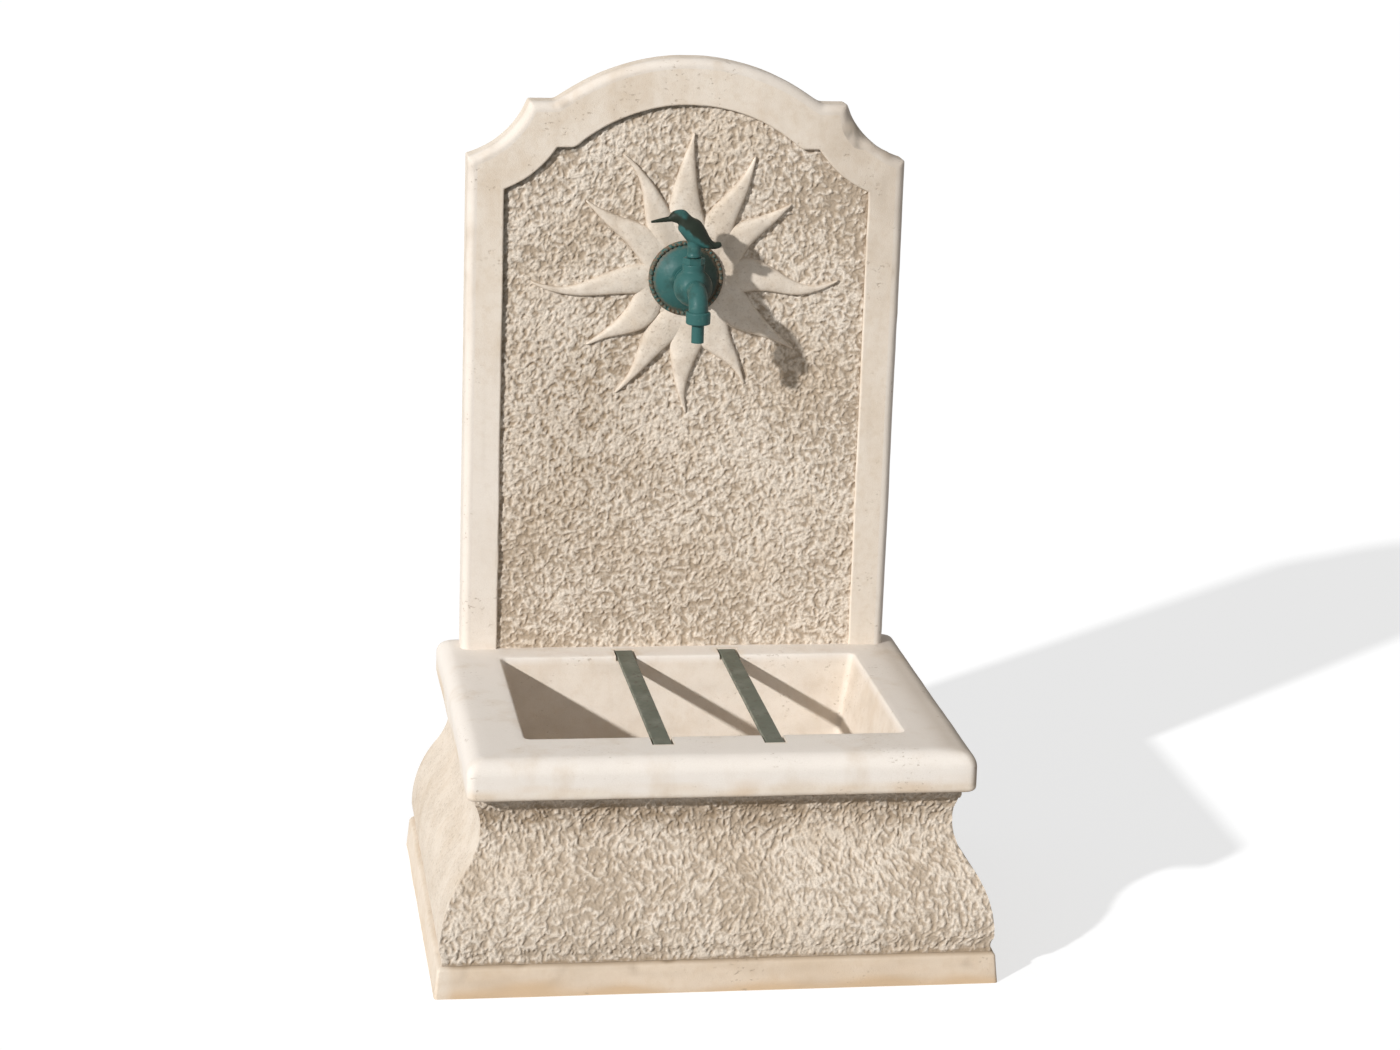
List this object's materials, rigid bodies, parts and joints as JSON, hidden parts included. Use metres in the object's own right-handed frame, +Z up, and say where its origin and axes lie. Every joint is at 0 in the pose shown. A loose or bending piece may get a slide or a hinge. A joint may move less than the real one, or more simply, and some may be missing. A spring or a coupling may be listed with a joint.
{
  "type": "garden fountain",
  "caption": "Cast-stone garden wall fountain: ogee basin with bucket bars on a plinth, arched back panel with a sun relief, and a bib tap with a bird handle.",
  "frame": {"origin": "on the ground under the middle of the plinth", "axes": "+Z up, +X to the right seen from the front, -Y out of the front, so the back is at +Y"},
  "size_m": [0.616, 0.47, 0.9519],
  "materials": {
    "cast_stone": "cream cast stone, smooth on mouldings and hammered on the field and front",
    "bar_iron": "flat iron with worn dark green paint",
    "tap_green": "verdigris green paint on cast brass",
    "brass": "plain turned brass",
    "steel": "plain stainless steel",
    "chrome": "plated ball",
    "seat_white": "white seal plastic",
    "seal_rubber": "black rubber"
  },
  "bodies": {
    "fountain": {"plinth": "cast_stone", "basin": "cast_stone", "back_panel": "cast_stone", "sun_relief": "cast_stone", "panel_dowels": "steel", "drain_screw": "steel", "rosette": "tap_green", "tap_body": "tap_green", "spout_collar": "tap_green", "spout_nozzle": "tap_green", "packing_nut": "tap_green", "inlet_end": "tap_green", "extension_nipple": "brass", "inlet_backnut": "brass", "drain_strainer": "brass", "drain_tail": "brass", "drain_backnut": "brass", "inlet_washer": "steel", "seat_ring_front": "seat_white", "seat_ring_rear": "seat_white", "stem_packing": "seat_white", "spout_washer": "seal_rubber", "drain_gasket": "seal_rubber", "drain_washer": "seal_rubber"},
    "handle": {"bird_handle": "tap_green", "handle_screw": "steel", "valve_stem": "brass", "valve_ball": "chrome"},
    "bar_left": {"bucket_bar_left": "bar_iron"},
    "bar_right": {"bucket_bar_right": "bar_iron"}
  },
  "joints": [
    {"name": "handle_turn", "type": "hinge", "parent": "fountain", "child": "handle", "pos_m": [0, 0.112, 0.7035], "axis": [0, 0, 1], "range_deg": [0, 90]},
    {"name": "bar_left_lift", "type": "slide", "parent": "fountain", "child": "bar_left", "axis": [0, 0, 1], "range_m": [0, 0.25]},
    {"name": "bar_right_lift", "type": "slide", "parent": "fountain", "child": "bar_right", "axis": [0, 0, 1], "range_m": [0, 0.25]}
  ]
}
